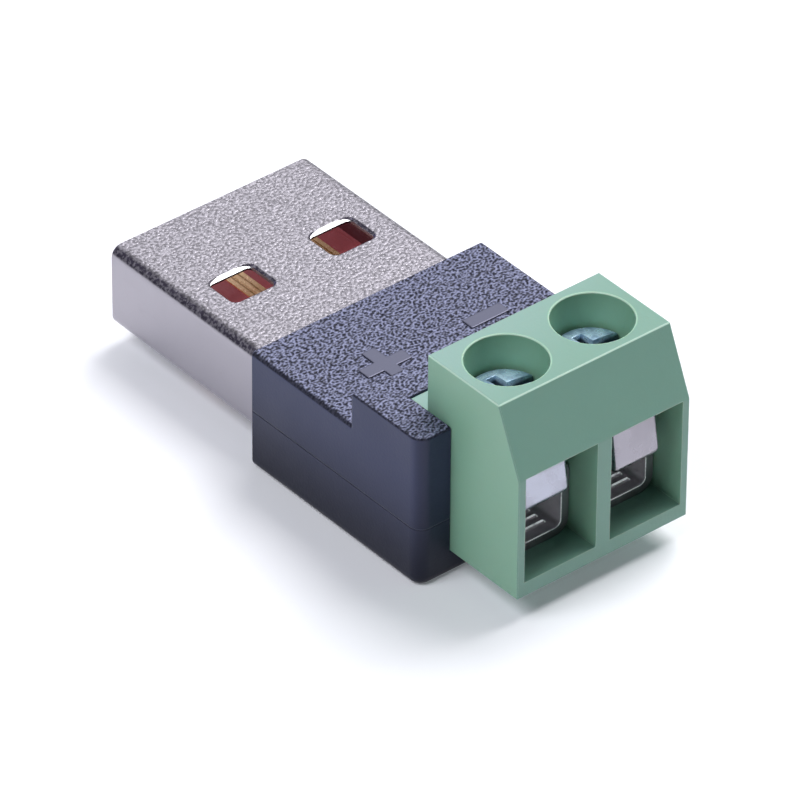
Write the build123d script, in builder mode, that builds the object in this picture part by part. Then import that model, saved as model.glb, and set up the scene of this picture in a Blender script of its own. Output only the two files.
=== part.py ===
from build123d import *
import os

# A plug with a two pole screw terminal behind it, for power leads.
# Millimetres. +Y points out of the plug, +Z up, and the wires enter from -Y.
# The origin is the middle of the footprint, on the face that the housing rests on.

# Plug shell, a sleeve folded from sheet
shell_width = 12.0
shell_height = 4.5
shell_sheet = 0.3
shell_corner = 0.6
shell_reach = 11.75
shell_seat = 4.8
shell_lip = 0.1
window_width = 2.5
window_length = 2.0
window_corner = 0.3
window_edge = 0.12
window_offset = 3.0
window_from_tip = 5.16
lock_width = 1.6
lock_length = 1.0
lock_offset = 3.4
lock_depth = 2.6
seam_gap = 0.06
seam_hook_width = 1.0
seam_hook_length = 1.2

# Contact carrier inside the shell
tongue_thickness = 1.92
tongue_setback = 0.4
tongue_edge = 0.3
mouth_depth = 8.65
carrier_back_length = 1.5
contact_width = 1.0
contact_sheet = 0.25
contact_proud = 0.04
contact_groove = 0.16
power_contact_offset = 3.5
data_contact_offset = 1.0
power_contact_setback = 1.3
data_contact_setback = 2.3
contact_bend = 0.3
contact_foot = 1.2
contact_drop_gap = 0.35

# Circuit board and its solder
board_width = 9.4
board_thickness = 1.0
board_end_gap = 0.15
contact_pad_height = 0.4
cage_pad_height = 0.6
pad_margin = 0.35
pad_slope = 0.3
pad_spacing = 0.1
board_margin = 0.55

# Housing, two moulded halves
side_wall = 0.95
base_wall = 1.06
roof_wall = 1.04
cavity_wall = 1.1
housing_length = 12.12
step_depth = 7.3
step_height = 1.8
parting_height = 3.25
front_edge = 0.05
rear_corner = 0.65
roof_edge = 0.26
step_edge = 0.12
base_edge = 0.45
pin_diameter = 1.0
pin_length = 1.6
pin_tip = 0.2
front_pin_depth = 6.1
rear_pin_from_end = 1.4
mark_offset = 3.0
mark_shift = 0.2
mark_depth = 4.67
plus_length = 2.6
minus_length = 2.25
mark_bar = 0.76
mark_relief = 0.06
mark_corner = 0.1
lug_height = 0.2

# Terminal moulding
pole_count = 2
pole_pitch = 5.08
terminal_lift = 1.36
terminal_height = 10.1
terminal_length = 7.67
terminal_edge = 0.05
ledge_height = 6.97
ledge_length = 1.2
slope_length = 1.5
front_face_height = 6.65
opening_divider = 0.83
opening_floor = 0.8
opening_depth = 2.5
well_from_front = 3.95
well_gap = 0.115

# Clamp cage, folded from sheet
cage_lip = 0.12
cage_sheet = 0.45
cage_length = 4.22
cage_behind_screw = 2.07
cage_clear_height = 2.81
cage_inner_corner = 0.35
cage_fold_end = 0.4
tail_width = 1.0
ridge_pitch = 0.55
ridge_width = 2.35
ridge_depth = 0.12
ridge_count = 6

# Wire guards, each a strip folded to an L, that lie loose in their cages, one deeper than the other
guard_sheet = 0.3
guard_play = 0.35
guard_shift = -0.07
guard_insets = [0.37, 0.0]
guard_tab_step = 0.465
guard_tab_lean = 9.4
guard_headroom = 0.49
guard_from_front = 0.6
guard_bend = 0.35
guard_corner = 0.2
least_wire = 0.4

# Clamp screw
screw_diameter = 2.5
head_diameter = 3.7
head_height = 1.5
head_edge = 0.12
slot_width = 0.55
slot_depth = 0.7
cross_length = 2.2
tip_edge = 0.25

# Clearances
shell_fit = 0.02
carrier_fit = 0.02
contact_fit = 0.02
board_fit = 0.1
pin_fit = 0.05
lug_fit = 0.05
terminal_fit = 0.03
cage_fit = 0.02
guard_fit = 0.07
thread_fit = 0.05
running_gap = 0.02

# Places and sizes that follow from those above
drop_depth = shell_seat + contact_drop_gap
foot_end = drop_depth + contact_foot
contact_pad_middle = foot_end - contact_foot / 4
tail_end = contact_pad_middle + contact_foot / 2 + pad_spacing + pad_margin
board_front = shell_seat + board_end_gap
board_back = tail_end + tail_width + pad_margin + board_margin
pocket_start = board_back + board_end_gap
terminal_back = pocket_start + terminal_fit
terminal_front = terminal_back + terminal_length
face_y = (terminal_front - shell_reach) / 2
shell_middle = base_wall + shell_height / 2
shell_inner_width = shell_width - 2 * shell_sheet
shell_inner_height = shell_height - 2 * shell_sheet
housing_width = shell_width + 2 * side_wall
front_height = base_wall + shell_height + roof_wall
rear_height = front_height + step_height
tongue_base = base_wall + shell_sheet + carrier_fit
tongue_top = tongue_base + tongue_thickness
tongue_width = shell_inner_width - 2 * carrier_fit
carrier_end = shell_seat - carrier_back_length
contact_top = tongue_top + contact_proud
contact_middle = contact_top - contact_sheet / 2
terminal_width = pole_count * pole_pitch
mouth_top = terminal_lift + front_face_height
pole_places = [pole_pitch * (index - (pole_count - 1) / 2) for index in range(pole_count)]
opening_width = pole_pitch - opening_divider
well_diameter = head_diameter + 2 * well_gap
well_depth = terminal_front - well_from_front
cage_width = opening_width - 2 * cage_lip
cage_inner_width = cage_width - 2 * cage_sheet
cage_base = terminal_lift + opening_floor
cage_floor = cage_base + cage_sheet
cage_roof = cage_floor + cage_clear_height
cage_top = cage_roof + 2 * cage_sheet
cage_back = well_depth - cage_behind_screw
cage_front = cage_back + cage_length
guard_leg_width = cage_inner_width - 2 * cage_inner_corner - 2 * guard_play
guard_tab_width = guard_leg_width + 2 * guard_tab_step
guard_level = cage_roof - running_gap - guard_sheet / 2
clamp_travel = cage_clear_height - guard_sheet - running_gap - least_wire
head_seat = cage_top + running_gap + clamp_travel
board_base = cage_base - board_thickness
foot_middle = cage_base + contact_sheet / 2
over = 1.0
near = 0.01


def at(distance):
    """Y of a place this far behind the plug face of the housing."""
    return face_y - distance


def behind(distance):
    """Upright plane this far behind the plug face, its positive side towards the wires."""
    return Plane.XZ.offset(distance - face_y)


def block(x_middle, width, start, end, bottom, top):
    """Straight block between two distances behind the plug face and two heights."""
    with BuildPart() as piece:
        with BuildSketch(behind(start)):
            with Locations((x_middle, (bottom + top) / 2)):
                Rectangle(width, top - bottom)
        extrude(amount=end - start)
    return piece.part


def save(piece, name):
    """Label a finished piece and write its file."""
    piece.part.label = name
    export_step(piece.part, f"parts/{name}.step")


# Plug shell: rounded sleeve, two latch windows above and below, lock holes and a hooked seam
window_y = at(window_from_tip + window_length / 2 - shell_reach)
with BuildPart() as plug_shell:
    with BuildSketch(behind(-shell_reach)):
        with Locations((0, shell_middle)):
            RectangleRounded(shell_width, shell_height, shell_corner)
    extrude(amount=shell_reach + shell_seat)
    chamfer(plug_shell.faces().sort_by(Axis.Y)[-1].edges(), shell_lip)
    with BuildSketch(behind(-shell_reach)):
        with Locations((0, shell_middle)):
            RectangleRounded(shell_inner_width, shell_inner_height, shell_corner - shell_sheet)
    extrude(amount=shell_reach + shell_seat, mode=Mode.SUBTRACT)
    with BuildSketch():
        with Locations((-window_offset, window_y), (window_offset, window_y)):
            RectangleRounded(window_width, window_length, window_corner)
    extrude(amount=base_wall + shell_height + over, mode=Mode.SUBTRACT)
    for level in (base_wall, base_wall + shell_height):
        rims = plug_shell.edges().filter_by_position(Axis.Z, level - near, level + near)
        reach = window_length / 2 + near
        chamfer(rims.filter_by_position(Axis.Y, window_y - reach, window_y + reach), window_edge)
    with BuildSketch(Plane.XY.offset(shell_middle)):
        with Locations((-lock_offset, at(lock_depth)), (lock_offset, at(lock_depth))):
            Rectangle(lock_width, lock_length)
    extrude(amount=shell_height, mode=Mode.SUBTRACT)
    with BuildSketch():
        with BuildLine():
            Polyline(
                (0, at(-shell_reach) + over),
                (0, window_y + seam_hook_length / 4),
                (seam_hook_width / 2, window_y + seam_hook_length / 2),
                (seam_hook_width / 2, window_y - seam_hook_length / 2),
                (0, window_y - seam_hook_length / 4),
                (0, at(shell_seat) - over),
            )
        trace(line_width=seam_gap)
    extrude(amount=base_wall + 2 * shell_sheet, mode=Mode.SUBTRACT)


# Contacts: a strip along the tongue, down behind the shell and out on the board
contact_rows = [
    ("contact_vbus", -power_contact_offset, power_contact_setback),
    ("contact_data_minus", -data_contact_offset, data_contact_setback),
    ("contact_data_plus", data_contact_offset, data_contact_setback),
    ("contact_ground", power_contact_offset, power_contact_setback),
]


def make_contact(x_middle, setback):
    """One strip contact with a rolled groove along the part that touches the socket."""
    tip_y = at(setback - shell_reach)
    with BuildPart() as contact:
        with BuildSketch(Plane.YZ.offset(x_middle)):
            with BuildLine():
                FilletPolyline(
                    (tip_y, contact_middle),
                    (at(drop_depth), contact_middle),
                    (at(drop_depth), foot_middle),
                    (at(foot_end), foot_middle),
                    radius=contact_bend,
                )
            trace(line_width=contact_sheet)
        extrude(amount=contact_width / 2, both=True)
        tip_edges = contact.edges().filter_by(Axis.X).group_by(Axis.Y)[-1]
        fillet(tip_edges.sort_by(Axis.Z)[-1], contact_sheet / 2)
        with BuildSketch(behind(setback + contact_width / 2 - shell_reach)):
            with Locations((x_middle, contact_top)):
                Rectangle(contact_groove, contact_groove, rotation=45)
        extrude(amount=mouth_depth - setback - contact_width, mode=Mode.SUBTRACT)
    return contact


contacts = {name: make_contact(x, setback) for name, x, setback in contact_rows}


def contact_channels(start, end, top):
    """Slots for the four contacts between two distances behind the plug face."""
    slots = []
    for name, x, setback in contact_rows:
        slot_start = max(start, setback - contact_fit - shell_reach)
        slots.append(block(x, contact_width + 2 * contact_fit, slot_start, end,
                           contact_top - contact_sheet - contact_fit, top))
    return slots


# Contact carrier: the tongue of the plug and the block that fills the shell behind its mouth
with BuildPart() as contact_carrier:
    with BuildSketch(behind(tongue_setback - shell_reach)):
        with Locations((0, (tongue_base + tongue_top) / 2)):
            Rectangle(tongue_width - 2 * shell_corner, tongue_thickness)
    extrude(amount=shell_reach - tongue_setback + carrier_end)
    tongue_front = contact_carrier.faces().sort_by(Axis.Y)[-1]
    chamfer(tongue_front.edges().filter_by(Axis.X), tongue_edge)
    with BuildSketch(behind(mouth_depth - shell_reach)):
        with Locations((0, shell_middle)):
            RectangleRounded(tongue_width, shell_inner_height - 2 * carrier_fit, shell_corner - shell_sheet)
    extrude(amount=shell_reach - mouth_depth + carrier_end)
    for slot in contact_channels(-shell_reach, carrier_end + over, contact_top + contact_fit):
        add(slot, mode=Mode.SUBTRACT)


# Back piece: a comb that drops over the contact tails and closes the shell
with BuildPart() as carrier_back:
    with BuildSketch(behind(carrier_end)):
        with Locations((0, shell_middle)):
            RectangleRounded(tongue_width, shell_inner_height - 2 * carrier_fit, shell_corner - shell_sheet)
    extrude(amount=carrier_back_length)
    for slot in contact_channels(carrier_end - over, shell_seat + over, shell_middle + shell_height):
        add(slot, mode=Mode.SUBTRACT)


# Circuit board behind the shell
with BuildPart() as circuit_board:
    add(block(0, board_width, board_front, board_back, board_base, cage_base))


# Clamp cages: a folded box whose two ends lap over each other on top, with a solder tail
def make_cage(x_middle):
    """One clamp cage with its threaded lap and serrated floor."""
    with BuildPart() as cage:
        with BuildSketch(behind(cage_back)):
            with Locations((x_middle, (cage_base + cage_top) / 2)):
                RectangleRounded(cage_width, cage_top - cage_base, cage_inner_corner + cage_sheet)
            with Locations((x_middle, (cage_floor + cage_roof) / 2)):
                RectangleRounded(cage_inner_width, cage_clear_height, cage_inner_corner, mode=Mode.SUBTRACT)
        extrude(amount=cage_length)
        fold_start = x_middle + cage_width / 2 - cage_fold_end
        add(block(fold_start + cage_width / 2, cage_width, cage_back - over, cage_front + over,
                  cage_top - cage_sheet, cage_top + over), mode=Mode.SUBTRACT)
        with BuildSketch(Plane.XY.offset(cage_roof - over)):
            with Locations((x_middle, at(well_depth))):
                Circle(screw_diameter / 2 + thread_fit)
        extrude(amount=cage_top - cage_roof + 2 * over, mode=Mode.SUBTRACT)
        first_ridge = at(cage_front) + (cage_length - ridge_pitch * (ridge_count - 1)) / 2
        ridges = [(first_ridge + ridge_pitch * index, cage_floor) for index in range(ridge_count)]
        with BuildSketch(Plane.YZ.offset(x_middle)):
            with Locations(*ridges):
                Rectangle(ridge_depth * 2 ** 0.5, ridge_depth * 2 ** 0.5, rotation=45)
        extrude(amount=ridge_width / 2, both=True, mode=Mode.SUBTRACT)
        add(block(x_middle, tail_width, tail_end, cage_back, cage_base, cage_floor))
    return cage


# Wire guards: the leg lies under the screw's tip, the leaning tab closes the mouth above the wire
def make_guard(x_middle, inset):
    """One wire guard at rest, pushed in by an inset, with its screw fully open."""
    outward = max(guard_insets) - inset
    leg_end = cage_back + guard_fit + outward
    tab_foot = terminal_front - guard_from_front - inset
    lean = Vector(0, 1).rotate(Axis.Z, -guard_tab_lean)
    tab = lean * ((mouth_top - guard_headroom - guard_level) / lean.Y)
    with BuildPart() as guard:
        with BuildSketch(Plane.YZ.offset(x_middle)):
            with BuildLine():
                FilletPolyline(
                    (at(leg_end), guard_level),
                    (at(tab_foot), guard_level),
                    (at(tab_foot) + tab.X, guard_level + tab.Y),
                    radius=guard_bend,
                )
            trace(line_width=guard_sheet)
        extrude(amount=guard_tab_width / 2, both=True)
        for side in (-1, 1):
            outline = guard.edges().filter_by(GeomType.CIRCLE).group_by(Axis.X)[side if side < 0 else 0]
            fillet(outline.sort_by(SortBy.RADIUS)[-1], guard_corner)
            side_middle = x_middle + side * (guard_leg_width + guard_tab_width) / 2
            add(block(side_middle, guard_tab_width, leg_end - over, cage_front + guard_fit + outward,
                      guard_level - guard_sheet, guard_level + guard_sheet), mode=Mode.SUBTRACT)
    return guard


# Clamp screws: cheese head with a slot and cross recess
def make_screw(x_middle):
    """One clamp screw at rest, backed out as far as its thread still holds."""
    with BuildPart() as screw:
        with BuildSketch(Plane.XY.offset(head_seat)):
            with Locations((x_middle, at(well_depth))):
                Circle(head_diameter / 2)
        extrude(amount=head_height)
        chamfer(screw.edges().group_by(Axis.Z)[-1], head_edge)
        with BuildSketch(Plane.XY.offset(cage_roof)):
            with Locations((x_middle, at(well_depth))):
                Circle(screw_diameter / 2)
        extrude(amount=head_seat - cage_roof)
        chamfer(screw.edges().group_by(Axis.Z)[0], tip_edge)
        with BuildSketch(Plane.XY.offset(head_seat + head_height - slot_depth)):
            with Locations((x_middle, at(well_depth))):
                Rectangle(head_diameter + over, slot_width)
                Rectangle(slot_width, cross_length)
        extrude(amount=slot_depth + over, mode=Mode.SUBTRACT)
    return screw


pole_names = ["positive", "negative"]
cages = {name: make_cage(x) for name, x in zip(pole_names, pole_places)}
guards = {name: make_guard(x + guard_shift, inset)
          for name, x, inset in zip(pole_names, pole_places, guard_insets)}
screws = {name: make_screw(x) for name, x in zip(pole_names, pole_places)}


# Solder: a hill with sloping sides round each contact foot and round each cage tail
def solder_pads(places, width, length, height, leads):
    """Solder hills at some places on the board, with the leads that they hold left out."""
    with BuildPart() as solder:
        with BuildSketch(Plane.XY.offset(cage_base)):
            with Locations(*places):
                Rectangle(width, length)
        extrude(amount=height)
        chamfer(solder.edges().group_by(Axis.Z)[-1], pad_slope)
        for lead in leads:
            add(lead.part, mode=Mode.SUBTRACT)
    return solder


contact_solder = solder_pads(
    [(x, at(contact_pad_middle)) for name, x, setback in contact_rows],
    contact_width + 2 * pad_margin, contact_foot, contact_pad_height, contacts.values())
cage_solder = solder_pads(
    [(x, at(tail_end + tail_width / 2)) for x in pole_places],
    tail_width + 2 * pad_margin, tail_width + 2 * pad_margin, cage_pad_height, cages.values())


# Terminal moulding: one block with a ledge behind, a slope in front, a well and a mouth per pole
with BuildPart() as terminal_body:
    with BuildSketch(Plane.YZ):
        with BuildLine():
            Polyline(
                (at(terminal_back), terminal_lift),
                (at(terminal_back), terminal_lift + ledge_height),
                (at(terminal_back + ledge_length), terminal_lift + ledge_height),
                (at(terminal_back + ledge_length), terminal_lift + terminal_height),
                (at(terminal_front - slope_length), terminal_lift + terminal_height),
                (at(terminal_front), mouth_top),
                (at(terminal_front), terminal_lift),
                close=True,
            )
        make_face()
    extrude(amount=terminal_width / 2, both=True)
    ledge_corner = (0, at(terminal_back + ledge_length), terminal_lift + ledge_height)
    inner_edge = terminal_body.edges().sort_by_distance(ledge_corner)[0]
    chamfer([edge for edge in terminal_body.edges() if edge != inner_edge], terminal_edge)
    for x in pole_places:
        add(block(x, opening_width, terminal_front - opening_depth, terminal_front + over,
                  cage_base, mouth_top), mode=Mode.SUBTRACT)
        add(block(x, cage_width + 2 * cage_fit, cage_back - cage_fit, terminal_front,
                  cage_base, cage_top + cage_fit), mode=Mode.SUBTRACT)
        add(block(x, tail_width + 2 * cage_fit, terminal_back - over, cage_back,
                  cage_base, cage_floor + cage_fit), mode=Mode.SUBTRACT)
    with BuildSketch(Plane.XY.offset(cage_top)):
        with Locations(*[(x, at(well_depth)) for x in pole_places]):
            Circle(well_diameter / 2)
    extrude(amount=terminal_height, mode=Mode.SUBTRACT)
    chamfer(terminal_body.edges().filter_by(GeomType.CIRCLE).group_by(Axis.Z)[-1], terminal_edge)


# Housing
def footprint(start):
    """Outline of the housing from a distance behind the plug face to its rear end."""
    with BuildSketch() as outline:
        with Locations((0, at((start + housing_length) / 2))):
            Rectangle(housing_width, housing_length - start)
        fillet(outline.vertices().group_by(Axis.Y)[0], rear_corner)
    return outline.sketch


def shell_pocket():
    """Space in the housing that the plug shell sits in."""
    with BuildPart() as pocket:
        with BuildSketch(behind(-over)):
            with Locations((0, shell_middle)):
                RectangleRounded(shell_width + 2 * shell_fit, shell_height + 2 * shell_fit,
                                 shell_corner + shell_fit)
        extrude(amount=over + shell_seat + shell_fit)
    return pocket.part


cavity_width = board_width + 2 * board_fit
front_pin = ((housing_width + cavity_width) / 4, at(front_pin_depth))
rear_pin = ((housing_width + terminal_width + 2 * terminal_fit) / 4, at(housing_length - rear_pin_from_end))
pin_places = [(side * x, y) for side in (-1, 1) for x, y in (front_pin, rear_pin)]
terminal_pocket = block(0, terminal_width + 2 * terminal_fit, pocket_start, housing_length + over,
                        terminal_lift, rear_height + over)

with BuildPart() as housing_bottom:
    with BuildSketch():
        add(footprint(0))
    extrude(amount=parting_height)
    fillet(housing_bottom.faces().sort_by(Axis.Z)[0].edges().sort_by(Axis.Y)[:-1], base_edge)
    chamfer(housing_bottom.faces().sort_by(Axis.Y)[-1].edges().sort_by(Axis.Z)[:-1], front_edge)
    add(shell_pocket(), mode=Mode.SUBTRACT)
    add(block(0, cavity_width, shell_seat, pocket_start + over, board_base, parting_height + over),
        mode=Mode.SUBTRACT)
    add(terminal_pocket, mode=Mode.SUBTRACT)
    with BuildSketch(Plane.XY.offset(parting_height)):
        with Locations(*pin_places):
            Circle(pin_diameter / 2 + pin_fit)
    extrude(amount=-pin_length - pin_fit, mode=Mode.SUBTRACT)

# The raised rear part is a block of its own that the front roof runs into
step_base = (parting_height + front_height) / 2
with BuildPart() as raised_block:
    with BuildSketch(Plane.XY.offset(step_base)):
        add(footprint(step_depth))
    extrude(amount=rear_height - step_base)
    fillet(raised_block.faces().sort_by(Axis.Z)[-1].edges(), step_edge)

# Polarity marks, raised from the front roof
with BuildPart() as marks:
    with BuildSketch(Plane.XY.offset(front_height - mark_relief)):
        with Locations((mark_shift - mark_offset, at(mark_depth))):
            RectangleRounded(plus_length, mark_bar, mark_corner)
            RectangleRounded(mark_bar, plus_length, mark_corner)
        with Locations((mark_shift + mark_offset, at(mark_depth))):
            RectangleRounded(minus_length, mark_bar, mark_corner)
    extrude(amount=2 * mark_relief)

with BuildPart() as housing_top:
    with BuildSketch(Plane.XY.offset(parting_height)):
        add(footprint(0))
    extrude(amount=front_height - parting_height)
    fillet(housing_top.faces().sort_by(Axis.Z)[-1].edges().sort_by(Axis.Y)[:-1], roof_edge)
    chamfer(housing_top.faces().sort_by(Axis.Y)[-1].edges().sort_by(Axis.Z)[1:], front_edge)
    add(raised_block.part)
    add(marks.part)
    add(shell_pocket(), mode=Mode.SUBTRACT)
    add(block(0, cavity_width, shell_seat, pocket_start + over, parting_height - over,
              front_height - cavity_wall), mode=Mode.SUBTRACT)
    add(block(0, cavity_width, step_depth + cavity_wall, pocket_start + over, parting_height - over,
              rear_height - cavity_wall), mode=Mode.SUBTRACT)
    add(terminal_pocket, mode=Mode.SUBTRACT)
    for side in (-1, 1):
        add(block(side * lock_offset, lock_width - 2 * lug_fit,
                  lock_depth - lock_length / 2 + lug_fit, lock_depth + lock_length / 2 - lug_fit,
                  base_wall + shell_height - lug_height, front_height - roof_wall / 2))
    with BuildSketch(Plane.XY.offset(parting_height)):
        with Locations(*pin_places):
            Circle(pin_diameter / 2)
    extrude(amount=-pin_length)
    chamfer(housing_top.edges().group_by(Axis.Z)[0], pin_tip)


os.makedirs("parts", exist_ok=True)
save(plug_shell, "plug_shell")
save(contact_carrier, "contact_carrier")
save(carrier_back, "carrier_back")
for name, contact in contacts.items():
    save(contact, name)
save(contact_solder, "contact_solder")
save(cage_solder, "cage_solder")
save(circuit_board, "circuit_board")
save(housing_bottom, "housing_bottom")
save(housing_top, "housing_top")
save(terminal_body, "terminal_body")
for name in pole_names:
    save(cages[name], f"clamp_cage_{name}")
    save(guards[name], f"wire_guard_{name}")
    save(screws[name], f"clamp_screw_{name}")
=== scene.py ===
"""Looks of a plug with a two pole screw terminal: finishes, threaded clamp screws and the studio round it.

The carried-over parts keep their shape and get a finish each. The clamp screws are modelled anew, with a
domed head, a driver recess and a real thread, and two ribs are added beside the plug's tongue. Lengths are
in millimetres until a mesh is placed, and colours are linear.
"""

import logging
import math
from dataclasses import dataclass, field
from enum import Enum

import bmesh
import bpy
from mathutils import Matrix, Vector


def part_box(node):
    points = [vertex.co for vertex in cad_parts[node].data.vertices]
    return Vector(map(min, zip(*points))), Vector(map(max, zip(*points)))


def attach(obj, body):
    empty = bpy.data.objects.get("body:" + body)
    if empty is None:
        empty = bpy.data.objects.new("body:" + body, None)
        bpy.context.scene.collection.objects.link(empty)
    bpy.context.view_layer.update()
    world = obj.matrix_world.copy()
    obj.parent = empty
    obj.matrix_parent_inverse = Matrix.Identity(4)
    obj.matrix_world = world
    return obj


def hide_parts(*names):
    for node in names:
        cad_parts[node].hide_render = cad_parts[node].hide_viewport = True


MM = 0.001
MERGE_DISTANCE = 1e-4
POLE_OFFSET = 2.54
CAGE_SHEET = 0.45
BLACK = (0.0, 0.0, 0.0)
WHITE = (1.0, 1.0, 1.0)
UPRIGHT = (0.0, 0.0, 1.0)
TOWARDS_LAMP = (0.0, -0.69, 0.72)
RISING = (0.0, 1.0)
FALLING = (1.0, 0.0)
log = logging.getLogger("adapter")

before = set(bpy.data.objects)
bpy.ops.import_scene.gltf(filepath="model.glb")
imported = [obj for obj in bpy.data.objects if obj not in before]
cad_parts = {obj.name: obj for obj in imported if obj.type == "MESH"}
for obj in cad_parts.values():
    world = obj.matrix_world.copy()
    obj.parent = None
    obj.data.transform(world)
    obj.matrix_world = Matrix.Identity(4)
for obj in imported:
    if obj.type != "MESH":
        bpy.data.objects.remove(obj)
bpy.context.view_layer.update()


class Pole(Enum):
    """The two poles of the terminal, by the name that their parts end in."""

    POSITIVE = "positive"
    NEGATIVE = "negative"


class Facing(Enum):
    """Which way a patch of surface looks, as an axis of the object and a sign."""

    UP = (2, 1.0)
    DOWN = (2, -1.0)
    FRONT = (1, -1.0)
    LEFT = (0, -1.0)
    RIGHT = (0, 1.0)


Socket = bpy.types.NodeSocket
Value = Socket | float | tuple


class Wiring:
    """Adds nodes to one tree and joins their sockets."""

    def __init__(self, tree: bpy.types.NodeTree) -> None:
        """Work on the node tree of a material or a group."""
        self.tree = tree

    def feed(self, socket: Socket, value: Value) -> None:
        """Link a socket to another one, or set it to a plain value.

        Args:
            socket: the input to fill.
            value: an output socket, a number or a tuple.
        """
        if isinstance(value, bpy.types.NodeSocket):
            self.tree.links.new(value, socket)
        else:
            socket.default_value = value

    def feed_all(self, node: bpy.types.Node, inputs: dict) -> None:
        """Feed several inputs of a node, by name or index."""
        for key, value in inputs.items():
            self.feed(node.inputs[key], value)

    def node(self, kind: str, inputs: dict | None = None, **settings: object) -> bpy.types.Node:
        """Add a node.

        Args:
            kind: the node's type name without its ShaderNode part.
            inputs: values or sockets for its inputs, by name or index.
            **settings: properties to set on the node.

        Returns:
            The new node.
        """
        made = self.tree.nodes.new("ShaderNode" + kind)
        for name, value in settings.items():
            setattr(made, name, value)
        self.feed_all(made, inputs or {})
        return made

    def math(self, operation: str, first: Value, second: Value = 0.0, clamp: bool = False) -> Socket:
        """Add a math node for an operation, and keep its result between 0 and 1 where asked."""
        return self.node("Math", {0: first, 1: second}, operation=operation, use_clamp=clamp).outputs[0]

    def times(self, *values: Value) -> Socket:
        """Multiply values.

        Args:
            *values: two or more of them.

        Returns:
            The product's socket.
        """
        product = values[0]
        for value in values[1:]:
            product = self.math("MULTIPLY", product, value)
        return product

    def plus(self, *values: Value) -> Socket:
        """Add values up.

        Args:
            *values: two or more of them.

        Returns:
            The sum's socket.
        """
        total = values[0]
        for value in values[1:]:
            total = self.math("ADD", total, value)
        return total

    def minus(self, first: Value, second: Value) -> Socket:
        """The first value less the second."""
        return self.math("SUBTRACT", first, second)

    def above(self, value: Value, limit: Value) -> Socket:
        """1 where the value is over the limit, and 0 elsewhere."""
        return self.math("GREATER_THAN", value, limit)

    def below(self, value: Value, limit: Value) -> Socket:
        """1 where the value is under the limit, and 0 elsewhere."""
        return self.math("LESS_THAN", value, limit)

    def distance(self, value: Value, place: Value = 0.0) -> Socket:
        """How far a value is from a place, on either side."""
        return self.math("ABSOLUTE", self.minus(value, place))

    def ramp(self, value: Value, span: tuple, result: tuple = RISING) -> Socket:
        """Map a value smoothly from a span to what the start and the end of the span give."""
        inputs = {0: value, 1: span[0], 2: span[1], 3: result[0], 4: result[1]}
        return self.node("MapRange", inputs, interpolation_type="SMOOTHSTEP").outputs[0]

    def line(self, value: Value, place: Value, span: tuple) -> Socket:
        """Mask of a thin line at a place, full and then fading over the span of distances from it."""
        return self.ramp(self.distance(value, place), span, FALLING)

    def mix(self, factor: Value, first: Value, second: Value) -> Socket:
        """Mix two colours.

        Args:
            factor: 0 gives the first, 1 the second.
            first: a colour.
            second: a colour.

        Returns:
            The mixed colour's socket.
        """
        made = self.node("Mix", data_type="RGBA")
        for index, value in ((0, factor), (6, first), (7, second)):
            if isinstance(value, tuple) and len(value) == 3:
                value = (*value, 1.0)
            self.feed(made.inputs[index], value)
        return made.outputs[2]

    def layers(self, ground: Value, *coats: tuple) -> Socket:
        """Lay colours over one another.

        Args:
            ground: the colour below.
            *coats: a mask and a colour for each layer, from the lowest up.

        Returns:
            The colour's socket.
        """
        skin = ground
        for mask, colour in coats:
            skin = self.mix(mask, skin, colour)
        return skin

    def turn(self, factor: Value, first: Value, second: Value) -> Socket:
        """Mix two normals: a factor of 0 gives the first, 1 the second."""
        return self.node("Mix", {0: factor, 4: first, 5: second}, data_type="VECTOR").outputs[1]

    def noise(self, place: Value, scale: Value, **others: Value) -> Socket:
        """Value of a noise with so many waves per millimetre, and other inputs by name."""
        return self.node("TexNoise", {"Vector": place, "Scale": scale, **others}).outputs["Fac"]

    def patches(self, scale: float, span: tuple, result: tuple = RISING) -> Socket:
        """Mask of uneven patches, so many per millimetre, from a span of their noise."""
        return self.ramp(self.noise(self.place(), scale), span, result)

    def place(self, stretch: tuple = (1.0, 1.0, 1.0), turn: float = 0.0) -> Socket:
        """Object coordinates in millimetres.

        Args:
            stretch: factors along the three axes, below 1 to draw a pattern out.
            turn: turns the axes about the upright one first, in degrees.

        Returns:
            The coordinates' socket.
        """
        coords = self.node("TexCoord").outputs["Object"]
        scale = tuple(MM / factor for factor in stretch)
        inputs = {"Vector": coords, "Rotation": (0.0, 0.0, math.radians(turn)), "Scale": scale}
        return self.node("Mapping", inputs, vector_type="TEXTURE").outputs[0]

    def parts_of(self, vector: Value) -> tuple:
        """The sockets of a vector's x, y and z."""
        return tuple(self.node("SeparateXYZ", {0: vector}).outputs)

    def effect(self, tree: bpy.types.NodeTree, *values: Value) -> bpy.types.Node:
        """Place a shared effect.

        Args:
            tree: the effect's group.
            *values: values for its first inputs, in their order.

        Returns:
            The group's node.
        """
        made = self.node("Group")
        made.node_tree = tree
        self.feed_all(made, dict(enumerate(values)))
        return made

    def facing(self, side: Facing, span: tuple = (0.35, 0.8)) -> Socket:
        """Mask of the surface that looks one way.

        Args:
            side: the way it looks.
            span: where the mask starts and where it is full, as the cosine of the angle.

        Returns:
            The mask's socket.
        """
        axis, sign = side.value
        normal = self.parts_of(self.node("NewGeometry").outputs["Normal"])[axis]
        return self.ramp(self.times(normal, sign), span)

    def fold(self, normal: Value, start: tuple = (0.15, 0.35), end: tuple = (0.8, 0.98)) -> Socket:
        """Mask of the rounded edges between a top and its sides, by how far the normal looks up."""
        rise = self.parts_of(normal)[2]
        return self.times(self.ramp(rise, start), self.ramp(rise, end, FALLING))

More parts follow.
